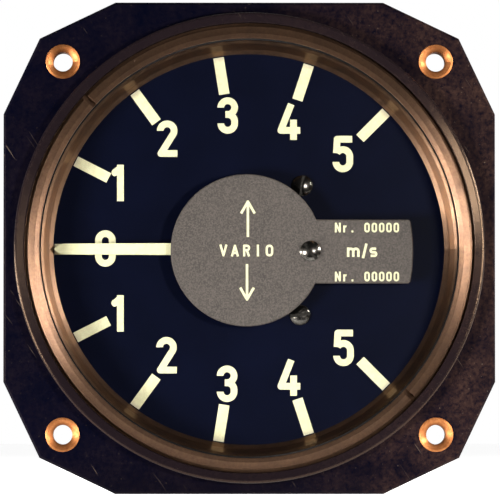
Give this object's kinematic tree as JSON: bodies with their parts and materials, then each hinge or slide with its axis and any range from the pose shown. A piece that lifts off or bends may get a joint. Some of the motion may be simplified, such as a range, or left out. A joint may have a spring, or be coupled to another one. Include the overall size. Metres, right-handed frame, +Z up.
{
  "type": "panel-mounted vane variometer",
  "caption": "Round-dial vertical airspeed indicator: vane chamber, pointer on one shaft, flanged case for a panel cut-out and hose connections at the rear.",
  "frame": {"origin": "centre of the mounting flange's front face, where it meets the rear of a panel", "axes": "-Y out of the dial towards the reader, +Y to the hose connections, +X to the reader's right, +Z up"},
  "size_m": [0.083, 0.0574, 0.083],
  "materials": {
    "case_moulding": "satin",
    "insert_brass": "satin",
    "ring_alloy": "satin",
    "window_glass": "polished",
    "black_rubber": "matte",
    "black_gloss": "gloss",
    "dial_black": "matte",
    "mark_paint": "matte",
    "pointer_paint": "matte",
    "cover_grey": "satin",
    "bare_aluminium": "satin",
    "dark_screw": "satin",
    "brass": "satin",
    "steel": "satin",
    "jewel_ruby": "gloss",
    "chamber_moulding": "satin",
    "nipple_alloy": "satin"
  },
  "bodies": {
    "instrument": {"bridge_screws": "steel", "case": "case_moulding", "chamber_body": "chamber_moulding", "chamber_cover": "chamber_moulding", "chamber_cover_screws": "steel", "chamber_partition": "brass", "cover_markings": "mark_paint", "cover_plate": "cover_grey", "cover_screw": "dark_screw", "cover_spacer": "bare_aluminium", "dial": "dial_black", "dial_markings": "mark_paint", "dial_screws": "dark_screw", "flask_nipple": "nipple_alloy", "flask_port_seal": "black_rubber", "front_gasket": "black_rubber", "front_jewel": "jewel_ruby", "glass": "window_glass", "glass_gasket": "black_rubber", "label_rivets": "bare_aluminium", "movement_screws": "dark_screw", "movement_washers": "black_rubber", "nipple_washers": "black_rubber", "panel_inserts": "insert_brass", "pivot_bridge": "bare_aluminium", "rear_jewel": "jewel_ruby", "rear_jewel_screw": "brass", "rear_label_plate": "bare_aluminium", "reflector_ring": "black_gloss", "regulator_clip": "steel", "retaining_ring": "ring_alloy", "static_nipple": "nipple_alloy", "vane_stop_pins": "steel", "zero_adjust_seal": "black_rubber"},
    "movement": {"pointer": "pointer_paint", "pointer_hub": "brass", "arbor": "steel", "hairspring_collet": "brass", "hairspring": "steel", "balance_weight": "brass", "vane_tube": "bare_aluminium", "vane": "bare_aluminium"},
    "regulator": {"regulator_arm": "brass", "hairspring_stud": "brass"},
    "zero_adjuster": {"zero_adjust_shaft": "steel", "zero_adjust_pinion": "brass"}
  },
  "joints": [
    {"name": "pointer_swing", "type": "hinge", "parent": "instrument", "child": "movement", "pos_m": [0, 0, 0], "axis": [0, 1, 0], "range_deg": [-140, 140], "stiffness_Nm_per_rad": 0.0001, "deforming": ["hairspring"]},
    {"name": "regulator_turn", "type": "hinge", "parent": "instrument", "child": "regulator", "pos_m": [0, 0, 0], "axis": [0, 1, 0], "range_deg": [-10, 10], "deforming": ["hairspring"]},
    {"name": "zero_adjust_turn", "type": "hinge", "parent": "instrument", "child": "zero_adjuster", "pos_m": [-0.02267, 0, -0.02267], "axis": [0, 1, 0], "range_deg": [-150, 150]}
  ],
  "couplings": [
    {"joint": "zero_adjust_turn", "follows": "regulator_turn", "ratio": -15}
  ]
}
